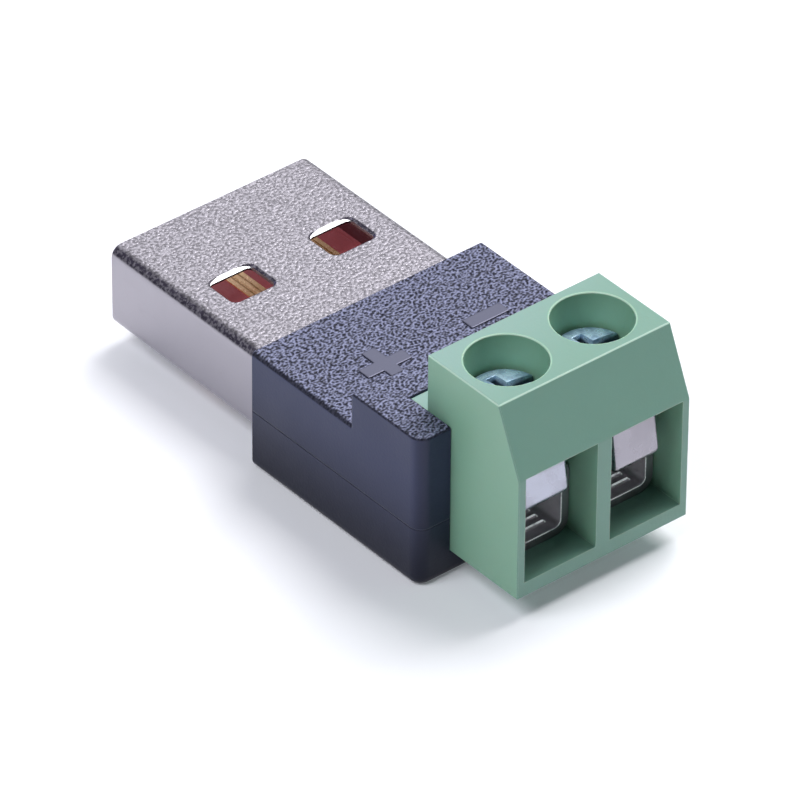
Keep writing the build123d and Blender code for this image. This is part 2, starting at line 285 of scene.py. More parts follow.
    def bump(self, height: Value, depth: float, normal: Value | None = None, strength: Value = 1.0) -> Socket:
        """Turn a height into a normal.

        Args:
            height: the height, 0 to 1.
            depth: what a height of 1 stands for, in millimetres.
            normal: the normal to start from.
            strength: how much of it shows.

        Returns:
            The normal's socket.
        """
        inputs = {"Height": height, "Distance": depth * MM, "Strength": strength}
        if normal is not None:
            inputs["Normal"] = normal
        return self.node("Bump", inputs).outputs[0]


def group(name: str, inputs: dict, outputs: dict) -> tuple:
    """Start a shader node group with named sockets.

    Args:
        name: the group's name.
        inputs: input names with their default numbers.
        outputs: output names with their kinds.

    Returns:
        The wiring of the group, its input node and its output node.
    """
    tree = bpy.data.node_groups.new(name, "ShaderNodeTree")
    for label, default in inputs.items():
        socket = tree.interface.new_socket(label, in_out="INPUT", socket_type="NodeSocketFloat")
        socket.default_value = default
    for label, kind in outputs.items():
        tree.interface.new_socket(label, in_out="OUTPUT", socket_type=kind)
    return Wiring(tree), tree.nodes.new("NodeGroupInput"), tree.nodes.new("NodeGroupOutput")


@dataclass
class Effects:
    """The shader node groups that several finishes share, each built once."""

    edge_radius: float = 0.06
    edge_samples: int = 6
    edge_span: tuple = (0.006, 0.16)
    spark_cells: float = 8.2
    spark_waves: float = 0.2
    spark_stretch: tuple = (0.8, 1.0, 1.0)
    spark_turn: float = 20.0
    pit_span: tuple = (0.26, 0.80)
    grain_scale: float = 12.0
    grain_detail: float = 2.0
    cloud_scale: float = 0.35
    cloud_detail: float = 3.0
    cloud_span: tuple = (0.3, 0.7)
    scratch_density: float = 0.5
    scratch_ways: tuple = ((9.0, 0.5, 3.0), (0.7, 7.0, 0.6))
    scratch_span: tuple = (0.0, 0.012)
    noise_middle: float = 0.5
    gate_scale: float = 1.3
    gate_span: tuple = (0.45, 0.62)

    def __post_init__(self) -> None:
        """Build all the groups."""
        self.soft_edge = self._soft_edge()
        self.spark = self._spark()
        self.grain = self._grain()
        self.scratches = self._scratches()

    def _soft_edge(self) -> bpy.types.NodeTree:
        """Rounded edges in the shading, and a mask of the edges.

        Returns:
            The group, with a Normal and a Mask.
        """
        outputs = {"Normal": "NodeSocketVector", "Mask": "NodeSocketFloat"}
        wiring, entry, end = group("soft_edge", {"Radius": self.edge_radius * MM}, outputs)
        bevel = wiring.node("Bevel", {"Radius": entry.outputs["Radius"]}, samples=self.edge_samples)
        flat = wiring.node("NewGeometry").outputs["Normal"]
        dot = wiring.node("VectorMath", {0: bevel.outputs[0], 1: flat}, operation="DOT_PRODUCT")
        bend = wiring.minus(1.0, dot.outputs["Value"])
        wiring.feed_all(end, {"Normal": bevel.outputs[0], "Mask": wiring.ramp(bend, self.edge_span)})
        return wiring.tree

    def _spark(self) -> bpy.types.NodeTree:
        """Spark-eroded mould texture: short wavy hills with pits between them.

        Returns:
            The group, with a Height and a Pits mask.
        """
        outputs = {"Height": "NodeSocketFloat", "Pits": "NodeSocketFloat"}
        inputs = {"Cells": self.spark_cells, "Waves": self.spark_waves}
        wiring, entry, end = group("spark_texture", inputs, outputs)
        place = wiring.place(self.spark_stretch, self.spark_turn)
        hills = wiring.noise(place, entry.outputs["Cells"], Detail=0.0, Distortion=entry.outputs["Waves"])
        wiring.feed_all(end, {"Height": hills, "Pits": wiring.ramp(hills, self.pit_span, FALLING)})
        return wiring.tree

    def _grain(self) -> bpy.types.NodeTree:
        """Fine even grain, as on tumbled plating or moulded plastic.

        Returns:
            The group, with a Height and a slow Cloud.
        """
        outputs = {"Height": "NodeSocketFloat", "Cloud": "NodeSocketFloat"}
        inputs = {"Scale": self.grain_scale, "Cloud Scale": self.cloud_scale}
        wiring, entry, end = group("grain", inputs, outputs)
        place = wiring.place()
        fine = wiring.noise(place, entry.outputs["Scale"], Detail=self.grain_detail)
        cloud = wiring.noise(place, entry.outputs["Cloud Scale"], Detail=self.cloud_detail)
        wiring.feed_all(end, {"Height": fine, "Cloud": wiring.ramp(cloud, self.cloud_span)})
        return wiring.tree

    def _scratches(self) -> bpy.types.NodeTree:
        """Thin scattered scratches along two directions.

        Returns:
            The group, with a Mask.
        """
        outputs = {"Mask": "NodeSocketFloat"}
        wiring, entry, end = group("scratches", {"Density": self.scratch_density}, outputs)
        masks = [wiring.line(wiring.noise(wiring.place(way), 1.0), self.noise_middle, self.scratch_span)
                 for way in self.scratch_ways]
        gate = wiring.patches(self.gate_scale, self.gate_span)
        mask = wiring.times(wiring.math("MAXIMUM", *masks), gate, entry.outputs["Density"])
        wiring.feed_all(end, {"Mask": mask})
        return wiring.tree


def scaled(colour: tuple, share: float) -> tuple:
    """A colour made darker or brighter by a factor."""
    return tuple(part * share for part in colour)


@dataclass(frozen=True)
class Finish:
    """A finish: its name as a material slot, and the colours and gloss that all finishes have."""

    name: str
    colour: tuple
    roughness: float
    metallic: float = 0.0

    def start(self) -> tuple:
        """Make the material with its shader.

        Returns:
            The material, its wiring and its Principled shader.
        """
        material = bpy.data.materials.new("finish_" + self.name)
        material.use_nodes = True
        material.node_tree.nodes.clear()
        wiring = Wiring(material.node_tree)
        inputs = {"Base Color": (*self.colour, 1.0), "Roughness": self.roughness, "Metallic": self.metallic}
        shader = wiring.node("BsdfPrincipled", inputs)
        wiring.node("OutputMaterial", {"Surface": shader.outputs[0]})
        return material, wiring, shader

    def gloss(self, wiring: Wiring, grain: bpy.types.Node, spread: float) -> Socket:
        """Roughness that rises with the slow clouds of the grain, by a spread at most."""
        return wiring.ramp(grain.outputs["Cloud"], RISING, (self.roughness, self.roughness + spread))


@dataclass(frozen=True)
class HousingFinish(Finish):
    """Black moulded plastic with a spark-eroded roof, polished marks and smooth sides, with painted sheen,
    painted shade and painted edge highlights in its colours.
    """

    # The roof's colour is far paler than the black plastic: painted sheen on the hills of the spark texture.
    roof_sheen_colour: tuple = (0.292, 0.312, 0.485)
    # Dark colour of painted shade in the pits, low down, on front faces and on folds, and of the real parting
    # seam.
    shade_and_seam_colour: tuple = (0.008, 0.009, 0.022)
    # The marks' smooth tops are paler than the black plastic: painted sheen.
    mark_sheen_colour: tuple = (0.115, 0.12, 0.18)
    # Colour of the painted highlight on the front edges of the marks.
    rim_highlight_colour: tuple = (0.42, 0.42, 0.60)
    # Paler colour of the painted highlights along the edges.
    edge_highlight_colour: tuple = (0.14, 0.15, 0.22)
    edge_radius: float = 0.13
    edge_highlight_amount: float = 0.4
    sheen: float = 0.25
    spark_depth: float = 0.16
    smooth_share: float = 0.03
    grain: tuple = (6.0, 0.25)
    grain_depth: float = 0.003
    roof_span: tuple = (0.2, 0.5)
    mark_level: float = 6.63
    mark_top: float = 6.70
    low_span: tuple = (0.0, 6.5)
    low_shade_share: float = 0.93
    front_span: tuple = (0.1, 0.8)
    front_shade_share: float = 0.35
    rim_highlight_span: tuple = (-0.4, -0.08)
    shade_span: tuple = (-0.25, 0.1)
    shade_share: tuple = (0.9, 0.45)
    parting_level: float = 3.25
    parting_span: tuple = (0.01, 0.035)
    patch_scale: float = 0.9
    patch_span: tuple = (0.45, 0.6)
    patch_share: tuple = (0.15, 0.6)
    gloss_spread: float = 0.08
    fold_dullness: float = 0.45

    def build(self, effects: Effects) -> bpy.types.Material:
        """Build the material.

        Args:
            effects: the shared groups.

        Returns:
            The finished material.
        """
        material, wiring, shader = self.start()
        edge = wiring.effect(effects.soft_edge, self.edge_radius * MM)
        spark = wiring.effect(effects.spark)
        grain = wiring.effect(effects.grain, *self.grain)
        level = wiring.parts_of(wiring.place())[2]
        up = wiring.facing(Facing.UP, self.roof_span)
        mark = wiring.times(wiring.above(level, self.mark_level), wiring.below(level, self.mark_top), up)
        roof = wiring.minus(up, mark)
        strength = wiring.ramp(roof, RISING, (self.smooth_share, 1.0))
        rough = wiring.bump(spark.outputs["Height"], self.spark_depth, edge.outputs["Normal"], strength)
        # The roof: painted sheen on the hills and painted shade in the pits.
        hills = wiring.mix(spark.outputs["Pits"], self.roof_sheen_colour, self.shade_and_seam_colour)
        # Painted shade: the sides are darker towards the bottom.
        low = wiring.ramp(level, self.low_span, (self.low_shade_share, 0.0))
        # Painted shade on the faces that look to the front.
        front = wiring.times(wiring.facing(Facing.FRONT, self.front_span), self.front_shade_share)
        # Painted highlight along the edges.
        edge_highlight = wiring.times(edge.outputs["Mask"], self.edge_highlight_amount)
        across, along, _ = wiring.parts_of(edge.outputs["Normal"])
        # Painted highlight on the edges of the marks that look to the front.
        rim = wiring.times(mark, wiring.ramp(along, self.rim_highlight_span, FALLING))
        # Painted shade on the rounded edges between the top and the sides, stronger on those that look left
        # and to the front.
        shaded = wiring.ramp(wiring.plus(across, along), self.shade_span, self.shade_share)
        fold = wiring.times(wiring.fold(edge.outputs["Normal"]), shaded)
        seam = wiring.times(wiring.line(level, self.parting_level, self.parting_span),
                            wiring.patches(self.patch_scale, self.patch_span, self.patch_share))
        # Painted light over the black: shade low down, on front faces and folds, sheen on roof and marks,
        # highlights on edges and mark rims. The seam is real.
        skin = wiring.layers(self.colour, (low, self.shade_and_seam_colour), (front, self.shade_and_seam_colour), (roof, hills),
                             (mark, self.mark_sheen_colour), (edge_highlight, self.edge_highlight_colour), (fold, self.shade_and_seam_colour),
                             (rim, self.rim_highlight_colour), (seam, self.shade_and_seam_colour))
        dull = wiring.times(fold, self.fold_dullness)
        wiring.feed_all(shader, {
            "Base Color": skin,
            "Roughness": wiring.plus(self.gloss(wiring, grain, self.gloss_spread), dull),
            "Normal": wiring.bump(grain.outputs["Height"], self.grain_depth, rough),
            "Specular IOR Level": self.sheen})
        return material


@dataclass(frozen=True)
class ShellFinish(Finish):
    """Nickel-plated sheet, grained on its broad faces and smooth on its narrow ones, with painted shade on
    sides, hollows, folds and edges, and a painted highlight on the cut faces of the windows.
    """

    # Dark colour of painted shade on the rounded edges and under the cut faces.
    fold_shade_colour: tuple = (0.035, 0.03, 0.05)
    # Dark colour of painted shade on edges that look back and along the tip's end.
    lip_shade_colour: tuple = (0.05, 0.04, 0.12)
    edge_radius: float = 0.08
    grain: tuple = (6.5, 0.5)
    grain_depth: float = 0.02
    scratch: float = 0.5
    scratch_dullness: float = 0.2
    broad_span: tuple = (0.25, 0.6)
    narrow_share: float = 0.06
    side_shade_share: float = 0.84
    hollow_shade_share: float = 0.42
    speckle_span: tuple = (0.35, 0.65)
    fold_span: tuple = (0.3, 0.5)
    fold_fade: float = 0.72
    front_span: tuple = (0.3, 0.5)
    burr_level: float = 5.36
    burr_bow: float = 0.10
    burr_height: float = 0.22
    window_offset: float = 3.0
    lip_span: tuple = (0.1, 0.35)
    lip_rise: tuple = (0.15, 0.45)
    lip_share: float = 0.85
    tip: float = 14.27
    tip_line: float = 0.13
    gloss_spread: float = 0.05
    polish: float = 0.3

    def build(self, effects: Effects) -> bpy.types.Material:
        """Build the material.

        Args:
            effects: the shared groups.

        Returns:
            The finished material.
        """
        material, wiring, shader = self.start()
        edge = wiring.effect(effects.soft_edge, self.edge_radius * MM)
        grain = wiring.effect(effects.grain, *self.grain)
        lines = wiring.effect(effects.scratches, self.scratch)
        across, along, level = wiring.parts_of(wiring.place())
        broad = wiring.facing(Facing.UP, self.broad_span)
        front = wiring.facing(Facing.FRONT, self.front_span)
        strength = wiring.ramp(broad, RISING, (self.narrow_share, 1.0))
        rough = wiring.bump(grain.outputs["Height"], self.grain_depth, edge.outputs["Normal"], strength)

        beside = wiring.minus(wiring.distance(across), self.window_offset)
        reach = wiring.plus(wiring.times(beside, beside, -self.burr_bow), self.burr_level, self.burr_height)
        inside = wiring.below(level, reach)
        above = wiring.above(level, self.burr_level)
        # Cut face in the windows: burnished metal, painted white as a highlight, its normal turned to the
        # lamp.
        sheared_highlight = wiring.times(front, above, inside)
        rounded = wiring.times(front, wiring.math("SUBTRACT", above, inside, clamp=True))
        # Painted shadow on the front-facing walls below the cut face, in the gap under the sheet.
        dark_low_strip = wiring.times(front, wiring.below(level, self.burr_level))

        speckle = wiring.ramp(grain.outputs["Height"], self.speckle_span)
        # Painted shade in the hollows of the grain on the broad faces.
        hollow_shade = wiring.times(wiring.minus(1.0, speckle), broad)
        # Painted shade on the rounded edges, weaker over the high spots of the grain.
        fold = wiring.times(wiring.fold(edge.outputs["Normal"], self.fold_span),
                            wiring.ramp(speckle, RISING, (1.0, self.fold_fade)))
        # Painted shade on edges whose rounding looks back, and along the end of the tip.
        _, forward, rise = wiring.parts_of(edge.outputs["Normal"])
        lip_shade = wiring.times(wiring.ramp(forward, self.lip_span, (0.0, self.lip_share)),
                           wiring.ramp(rise, self.lip_rise))
        tip = (self.tip - self.tip_line, self.tip)
        end = wiring.times(broad, wiring.ramp(along, tip, (0.0, self.lip_share)))
        # Painted shade: the narrow faces are darker than the broad ones.
        skin = wiring.layers(scaled(self.colour, self.side_shade_share), (broad, self.colour),
                             (hollow_shade, scaled(self.colour, self.hollow_shade_share)), (fold, self.fold_shade_colour),
                             (lip_shade, self.lip_shade_colour), (end, self.lip_shade_colour), (dark_low_strip, self.fold_shade_colour),
                             (sheared_highlight, WHITE))
        gloss = wiring.plus(self.gloss(wiring, grain, self.gloss_spread),
                            wiring.times(lines.outputs["Mask"], self.scratch_dullness))
        wiring.feed_all(shader, {
            "Base Color": skin,
            "Roughness": wiring.times(gloss, wiring.ramp(sheared_highlight, RISING, (1.0, self.polish))),
            "Normal": wiring.turn(rounded, wiring.turn(sheared_highlight, rough, TOWARDS_LAMP), UPRIGHT)})
        return material


@dataclass(frozen=True)
class PlasticFinish(Finish):
    """Moulded plastic with a satin skin, painted highlights along its edges and chamfers, and where a finish
    sets them a painted sheen on the top, painted light on the left face and a painted glow.
    """

    edge_highlight_colour: tuple = (0.5, 0.7, 0.6)
    shade_colour: tuple = (0.1, 0.2, 0.15)
    top_sheen_colour: tuple = ()
    left_lit_colour: tuple = ()
    well_colour: tuple = ()
    glow_colour: tuple = WHITE
    glow_strength: float = 0.0
    scatter: float = 0.0
    scatter_radius: float = 0.4
    edge_radius: float = 0.07
    edge_highlight_amount: float = 0.5
    bevel_highlight_amount: float = 0.7
    bevel_start: tuple = (0.45, 0.6)
    bevel_end: tuple = (0.8, 0.92)
    grain: tuple = (8.0, 0.3)
    depth: float = 0.006
    shade_amount: float = 0.25
    scratch: float = 0.35
    scratch_dullness: float = 0.25
    flat_span: tuple = (0.9, 0.97)
    top_sheen_slant: float = 0.35
    top_sheen_span: tuple = (-13.0, -6.0)
    well_place: tuple = (POLE_OFFSET, -10.0)
    well_radius: float = 2.05
    well_span: tuple = (7.5, 9.5)

    def _tones(self, wiring: Wiring) -> list:
        """Colours of single faces: painted sheen on the top, painted light on the left face, and the walls of
        the wells paler towards their top.

        Args:
            wiring: the material's wiring.

        Returns:
            A mask and a colour for each that the finish has.
        """
        across, along, level = wiring.parts_of(wiring.place())
        tones = []
        # Painted sheen: the top is paler towards its back and its left.
        if self.top_sheen_colour:
            slant = wiring.minus(along, wiring.times(across, self.top_sheen_slant))
            top = wiring.facing(Facing.UP, self.flat_span)
            tones.append((wiring.times(top, wiring.ramp(slant, self.top_sheen_span)), self.top_sheen_colour))
        # Painted light: the left face is lighter than the others.
        if self.left_lit_colour:
            tones.append((wiring.facing(Facing.LEFT, self.flat_span), self.left_lit_colour))
        if self.well_colour:
            side = wiring.minus(wiring.distance(across), self.well_place[0])
            ahead = wiring.minus(along, self.well_place[1])
            reach = wiring.plus(wiring.times(side, side), wiring.times(ahead, ahead))
            well = wiring.below(reach, self.well_radius ** 2)
            tones.append((wiring.times(well, wiring.ramp(level, self.well_span)), self.well_colour))
        return tones

    def build(self, effects: Effects) -> bpy.types.Material:
        """Build the material.

        Args:
            effects: the shared groups.

        Returns:
            The finished material.
        """
        material, wiring, shader = self.start()
        edge = wiring.effect(effects.soft_edge, self.edge_radius * MM)
        grain = wiring.effect(effects.grain, *self.grain)
        lines = wiring.effect(effects.scratches, self.scratch)
        # Painted highlights on the edges and on chamfers that slope between upright and level.
        rise = wiring.parts_of(wiring.node("NewGeometry").outputs["Normal"])[2]
        bevel = wiring.times(wiring.ramp(rise, self.bevel_start), wiring.ramp(rise, self.bevel_end, FALLING))
        lit = wiring.math("MAXIMUM", wiring.times(edge.outputs["Mask"], self.edge_highlight_amount),
                          wiring.times(bevel, self.bevel_highlight_amount))
        shade = wiring.times(grain.outputs["Cloud"], self.shade_amount)
        dull = wiring.times(lines.outputs["Mask"], self.scratch_dullness)
        wiring.feed_all(shader, {
            "Base Color": wiring.layers(self.colour, (shade, self.shade_colour), *self._tones(wiring),
                                        (lit, self.edge_highlight_colour)),
            "Roughness": wiring.plus(dull, self.roughness),
            "Normal": wiring.bump(grain.outputs["Height"], self.depth, edge.outputs["Normal"]),
            # Painted glow where a finish sets one: the surface lights itself.
            "Emission Color": (*self.glow_colour, 1.0),
            "Emission Strength": self.glow_strength,
            "Subsurface Weight": self.scatter,
            "Subsurface Scale": self.scatter_radius * MM})
        return material


@dataclass(frozen=True)
class PlatedFinish(Finish):
    """Plated metal with fine grain, scratches and cloudy gloss."""

    stain: tuple = (0.3, 0.28, 0.3)
    stain_amount: float = 0.3
    edge_radius: float = 0.05
    grain_scale: float = 9.0
    cloud_scale: float = 0.8
    depth: float = 0.003
    scratch: float = 0.6
    scratch_amount: float = 0.5
    gloss_spread: float = 0.12
    glow_colour: tuple = BLACK
    glow_strength: float = 0.0

    def _marks(self, wiring: Wiring) -> list:
        """What shows besides stains and scratches, as masks and colours: nothing on plain metal."""
        return []

    def _painted_highlights(self, wiring: Wiring, edge: bpy.types.Node, inputs: dict) -> dict:
        """The shader's inputs, with painted highlights added: none on plain metal."""
        return inputs

    def build(self, effects: Effects) -> bpy.types.Material:
        """Build the material.

        Args:
            effects: the shared groups.

        Returns:
            The finished material.
        """
        material, wiring, shader = self.start()
        edge = wiring.effect(effects.soft_edge, self.edge_radius * MM)
        grain = wiring.effect(effects.grain, self.grain_scale, self.cloud_scale)
        lines = wiring.effect(effects.scratches, self.scratch)
        cloudy = wiring.times(grain.outputs["Cloud"], self.stain_amount)
        scratched = wiring.times(lines.outputs["Mask"], self.scratch_amount)
        inputs = {
            "Base Color": wiring.layers(self.colour, (cloudy, self.stain), *self._marks(wiring),
                                        (scratched, self.stain)),
            "Roughness": self.gloss(wiring, grain, self.gloss_spread),
            "Normal": wiring.bump(grain.outputs["Height"], self.depth, edge.outputs["Normal"]),
            # Painted glow where a finish sets one: the surface lights itself.
            "Emission Color": (*self.glow_colour, 1.0),
            "Emission Strength": self.glow_strength}
        wiring.feed_all(shader, self._painted_highlights(wiring, edge, inputs))
        return material


@dataclass(frozen=True)
class ContactFinish(PlatedFinish):
    """Gold plating with painted shade of two rolled grooves along each contact."""

    groove_shade_colour: tuple = (0.2, 0.12, 0.05)
    groove_shade_amount: float = 0.8
    groove_offset: float = 0.2
    groove_span: tuple = (0.02, 0.07)
    data_place: float = 1.0
    power_place: float = 3.5

    def _marks(self, wiring: Wiring) -> list:
        """Painted shade of the two grooves, beside the middle of each contact.

        Args:
            wiring: the material's wiring.

        Returns:
            Their mask and colour.
        """
        away = wiring.distance(wiring.parts_of(wiring.place())[0])
        outer = wiring.above(away, (self.data_place + self.power_place) / 2)
        middle = wiring.plus(wiring.times(outer, self.power_place - self.data_place), self.data_place)
        grooves = wiring.line(wiring.distance(away, middle), self.groove_offset, self.groove_span)
        return [(wiring.times(grooves, self.groove_shade_amount), self.groove_shade_colour)]


@dataclass(frozen=True)
class CageFinish(PlatedFinish):
    """Tinned sheet with painted shade on its cut ends, and painted highlights with a painted glow on its
    ridges and inner edges.
    """

    floor_level: float = 0.0
    inner_half: float = 1.5
    play: float = 0.04
    # Greenish dark colour of painted shade on the cut ends.
    cut_shade_colour: tuple = (0.10, 0.13, 0.13)
    cut_shade_amount: float = 0.85
    cut_span: tuple = (0.85, 0.95)
    slope_span: tuple = (0.5, 0.65)
    ridge_span: tuple = (-0.07, -0.03)
    glint_patch_scale: float = 2.6
    glint_patch_span: tuple = (0.35, 0.5)
    glint_patch_share: tuple = (0.25, 1.0)
    # Painted glow of the highlights, though the sheet is no lamp.
    glint_colour: tuple = (0.9, 1.0, 1.0)
    glint_strength: float = 0.4
    glint_roughness: float = 0.3

    def _marks(self, wiring: Wiring) -> list:
        """Mask and colour of the cut ends of the sheet, darkened with a greenish painted shade."""
        cut = wiring.times(wiring.facing(Facing.FRONT, self.cut_span), self.cut_shade_amount)
        return [(cut, self.cut_shade_colour)]

    def _painted_highlights(self, wiring: Wiring, edge: bpy.types.Node, inputs: dict) -> dict:
        """Paint highlights and a glow on the crests of the ridges and on the inner edges.

        Args:
            wiring: the material's wiring.
            edge: the soft edges.
            inputs: the shader's inputs.

        Returns:
            The inputs to use.
        """
        across, _, level = wiring.parts_of(wiring.place())
        ridges = wiring.ramp(level, tuple(self.floor_level + step for step in self.ridge_span))
        slope = wiring.times(wiring.facing(Facing.FRONT, self.slope_span),
                             wiring.facing(Facing.UP, self.slope_span), ridges)
        beside = wiring.distance(wiring.distance(across), POLE_OFFSET)
        inner = wiring.times(wiring.below(beside, self.inner_half + self.play),
                             wiring.above(level, self.floor_level - self.play))
        # Painted highlight: white, glowing and turned to the lamp, in patches.
        bright = wiring.math("MAXIMUM", wiring.times(edge.outputs["Mask"], inner), slope)
        bright = wiring.times(bright, wiring.patches(self.glint_patch_scale, self.glint_patch_span, self.glint_patch_share))
        return {
            "Base Color": wiring.mix(bright, inputs["Base Color"], WHITE),
            "Roughness": wiring.ramp(bright, RISING, (self.roughness, self.glint_roughness)),
            "Metallic": wiring.ramp(bright, RISING, (self.metallic, 0.0)),
            "Normal": wiring.turn(bright, inputs["Normal"], TOWARDS_LAMP),
            "Emission Color": wiring.mix(bright, BLACK, self.glint_colour),
            "Emission Strength": self.glint_strength}


@dataclass(frozen=True)
class GuardFinish(PlatedFinish):
    """Bright strip, darker and with a torn edge on the negative pole's guard."""

    burr_level: float = 0.0
    burr_colour: tuple = (0.05, 0.05, 0.06)
    burr_span: tuple = (0.01, 0.05)
    burr_scale: float = 3.0
    burr_patches: tuple = (0.4, 0.55)
    burr_share: tuple = (0.1, 0.9)
    negative_darkening: float = 0.8

    def _marks(self, wiring: Wiring) -> list:
        """The torn edge and the darker colour of the negative guard.

        Args:
            wiring: the material's wiring.

        Returns:
            A mask and a colour for each.
        """
        across, _, level = wiring.parts_of(wiring.place())
        negative = wiring.above(across, 0.0)
        dark_low_strip = wiring.times(wiring.line(level, self.burr_level, self.burr_span),
                            wiring.patches(self.burr_scale, self.burr_patches, self.burr_share), negative)
        return [(dark_low_strip, self.burr_colour), (wiring.times(negative, self.negative_darkening), self.stain)]


@dataclass(frozen=True)
class ScrewFinish(PlatedFinish):
    """Bluish zinc with painted shade in its driver recess."""

    recess_top: float = 0.0
    recess_span: tuple = (-0.45, -0.26)
    recess_shade_share: float = 0.95
    recess_shade_colour: tuple = (0.05, 0.08, 0.11)

    def _marks(self, wiring: Wiring) -> list:
        """Painted shade in the recess, darker towards its floor; it darkens the side of the head too.

        Args:
            wiring: the material's wiring.

        Returns:
            Its mask and colour.
        """
        level = wiring.parts_of(wiring.place())[2]
        span = tuple(self.recess_top + step for step in self.recess_span)
        return [(wiring.ramp(level, span, (self.recess_shade_share, 0.0)), self.recess_shade_colour)]


@dataclass(frozen=True)
class BoardFinish(Finish):
    """Glass-fibre board: green lacquer over the weave on its faces, bare laminate on its sawn edges."""

    laminate: tuple = (0.55, 0.5, 0.28)
    laminate_roughness: float = 0.75
    weave_pitch: float = 0.45
    weave_share: float = 1.5
    grain_scale: float = 10.0
    depth: float = 0.004

    def build(self, effects: Effects) -> bpy.types.Material:
        """Build the material.

        Args:
            effects: the shared groups.

        Returns:
            The finished material.
        """
        material, wiring, shader = self.start()
        across, along, _ = wiring.parts_of(wiring.place())
        warp, weft = (wiring.math("SINE", wiring.times(part, 2 * math.pi / self.weave_pitch))
                      for part in (across, along))
        weave = wiring.ramp(wiring.times(warp, weft), (-1.0, 1.0))
        broad = wiring.math("MAXIMUM", wiring.facing(Facing.UP), wiring.facing(Facing.DOWN))
        grain = wiring.effect(effects.grain, self.grain_scale)
        lacquer = wiring.mix(weave, self.colour, scaled(self.colour, self.weave_share))
        wiring.feed_all(shader, {
            "Base Color": wiring.mix(broad, self.laminate, lacquer),
            "Roughness": wiring.ramp(broad, RISING, (self.laminate_roughness, self.roughness)),
            "Normal": wiring.bump(grain.outputs["Height"], self.depth)})
        return material


@dataclass
class Wardrobe:
    """All the finishes of the adapter, by the record's material slot."""

    effects: Effects = field(default_factory=Effects)
    made: dict = field(default_factory=dict)
    burr_rise: float = 0.22

    def finishes(self) -> list:
        """The finishes with their colours.

        Returns:
            One finish for each material slot.
        """
        cage_low, cage_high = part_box("clamp_cage_positive")
        return [
            ShellFinish("shell_steel", (0.445, 0.425, 0.475), 0.30, 0.75, grain_depth=0.042,
                        tip=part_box("plug_shell")[1].y / MM),
            # Painted glow: the red carrier lights itself faintly.
            PlasticFinish("carrier_red", (0.60, 0.12, 0.14), 0.38, edge_highlight_colour=(0.75, 0.20, 0.22),
                          shade_colour=(0.50, 0.09, 0.11), depth=0.004,
                          glow_colour=(1.0, 0.24, 0.28), glow_strength=0.095),
            # Painted glow: the gold contacts light themselves faintly.
            ContactFinish("contact_gold", (1.0, 0.77, 0.47), 0.26, 0.92, stain=(0.85, 0.60, 0.35),
                          glow_colour=(1.0, 0.42, 0.06), glow_strength=0.07),
            PlatedFinish("solder", (0.72, 0.73, 0.74), 0.22, 1.0, stain=(0.5, 0.5, 0.5), depth=0.006),
            BoardFinish("board", (0.02, 0.11, 0.05), 0.35),
            HousingFinish("housing_black", (0.038, 0.046, 0.102), 0.36),
            # Painted sheen on its top, painted light on its left face and painted highlights on its edges.
            PlasticFinish("terminal_green", (0.166, 0.325, 0.258), 0.40, edge_highlight_colour=(0.55, 0.76, 0.64),
                          shade_colour=(0.15, 0.305, 0.242), scatter=0.08, top_sheen_colour=(0.225, 0.375, 0.335),
                          left_lit_colour=(0.215, 0.41, 0.29), well_colour=(0.25, 0.47, 0.33),
                          well_place=(POLE_OFFSET, centre_of("clamp_screw_positive").y)),
            CageFinish("cage_tin", (0.74, 0.70, 0.74), 0.45, 0.75, stain=(0.42, 0.39, 0.42), edge_radius=0.08,
                       floor_level=cage_low.z / MM + CAGE_SHEET,
                       inner_half=(cage_high.x - cage_low.x) / 2 / MM - CAGE_SHEET),
            GuardFinish("guard_steel", (0.41, 0.425, 0.50), 0.24, 1.0, stain=(0.30, 0.28, 0.31),
                        stain_amount=0.25,
                        burr_level=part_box("wire_guard_negative")[0].z / MM + self.burr_rise),
            ScrewFinish("screw_zinc", (0.60, 0.80, 0.98), 0.26, 0.5, stain=(0.19, 0.31, 0.46),
                        stain_amount=0.82, depth=0.02, grain_scale=3.2, cloud_scale=2.6,
                        recess_top=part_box("clamp_screw_positive")[1].z / MM),
        ]

    def build(self) -> None:
        """Make every material."""
        for finish in self.finishes():
            self.made[finish.name] = finish.build(self.effects)
            log.info("finish %s", finish.name)

    def dress(self, node: str, slot: str) -> None:
        """Give a carried-over part its finish.

        Args:
            node: the part's name.
            slot: the finish's name.
        """
        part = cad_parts[node]
        for place in part.material_slots:
            place.material = self.made[slot]
        log.info("dressed %s in %s", node, slot)

    def wear(self, piece: bpy.types.Object, slot: str, body: str) -> None:
        """Give a new piece its finish and the body that it moves with.

        Args:
            piece: the piece.
            slot: the finish's name.
            body: the body's name.
        """
        piece.data.materials.clear()
        piece.data.materials.append(self.made[slot])
        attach(piece, body)
        log.info("piece %s rides on %s", piece.name, body)


def object_from(mesh: bmesh.types.BMesh, name: str, smooth_angle: float = 35.0) -> bpy.types.Object:
    """Make an object of a finished mesh, smooth but for its sharp edges.

    Args:
        mesh: the mesh in metres, freed afterwards.
        name: the object's name.
        smooth_angle: edges sharper than this many degrees stay sharp.

    Returns:
        The object, at the origin.
    """
    for face in mesh.faces:
        face.smooth = True
    for edge in mesh.edges:
        sharp = len(edge.link_faces) != 2 or edge.calc_face_angle(0.0) > math.radians(smooth_angle)
        edge.smooth = not sharp
    data = bpy.data.meshes.new(name)
    mesh.to_mesh(data)
    mesh.free()
    made = bpy.data.objects.new(name, data)
    bpy.context.scene.collection.objects.link(made)
    return made


def centre_of(node: str) -> Vector:
    """Middle of a carried-over part's box, in millimetres."""
    low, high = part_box(node)
    return (low + high) / 2 / MM


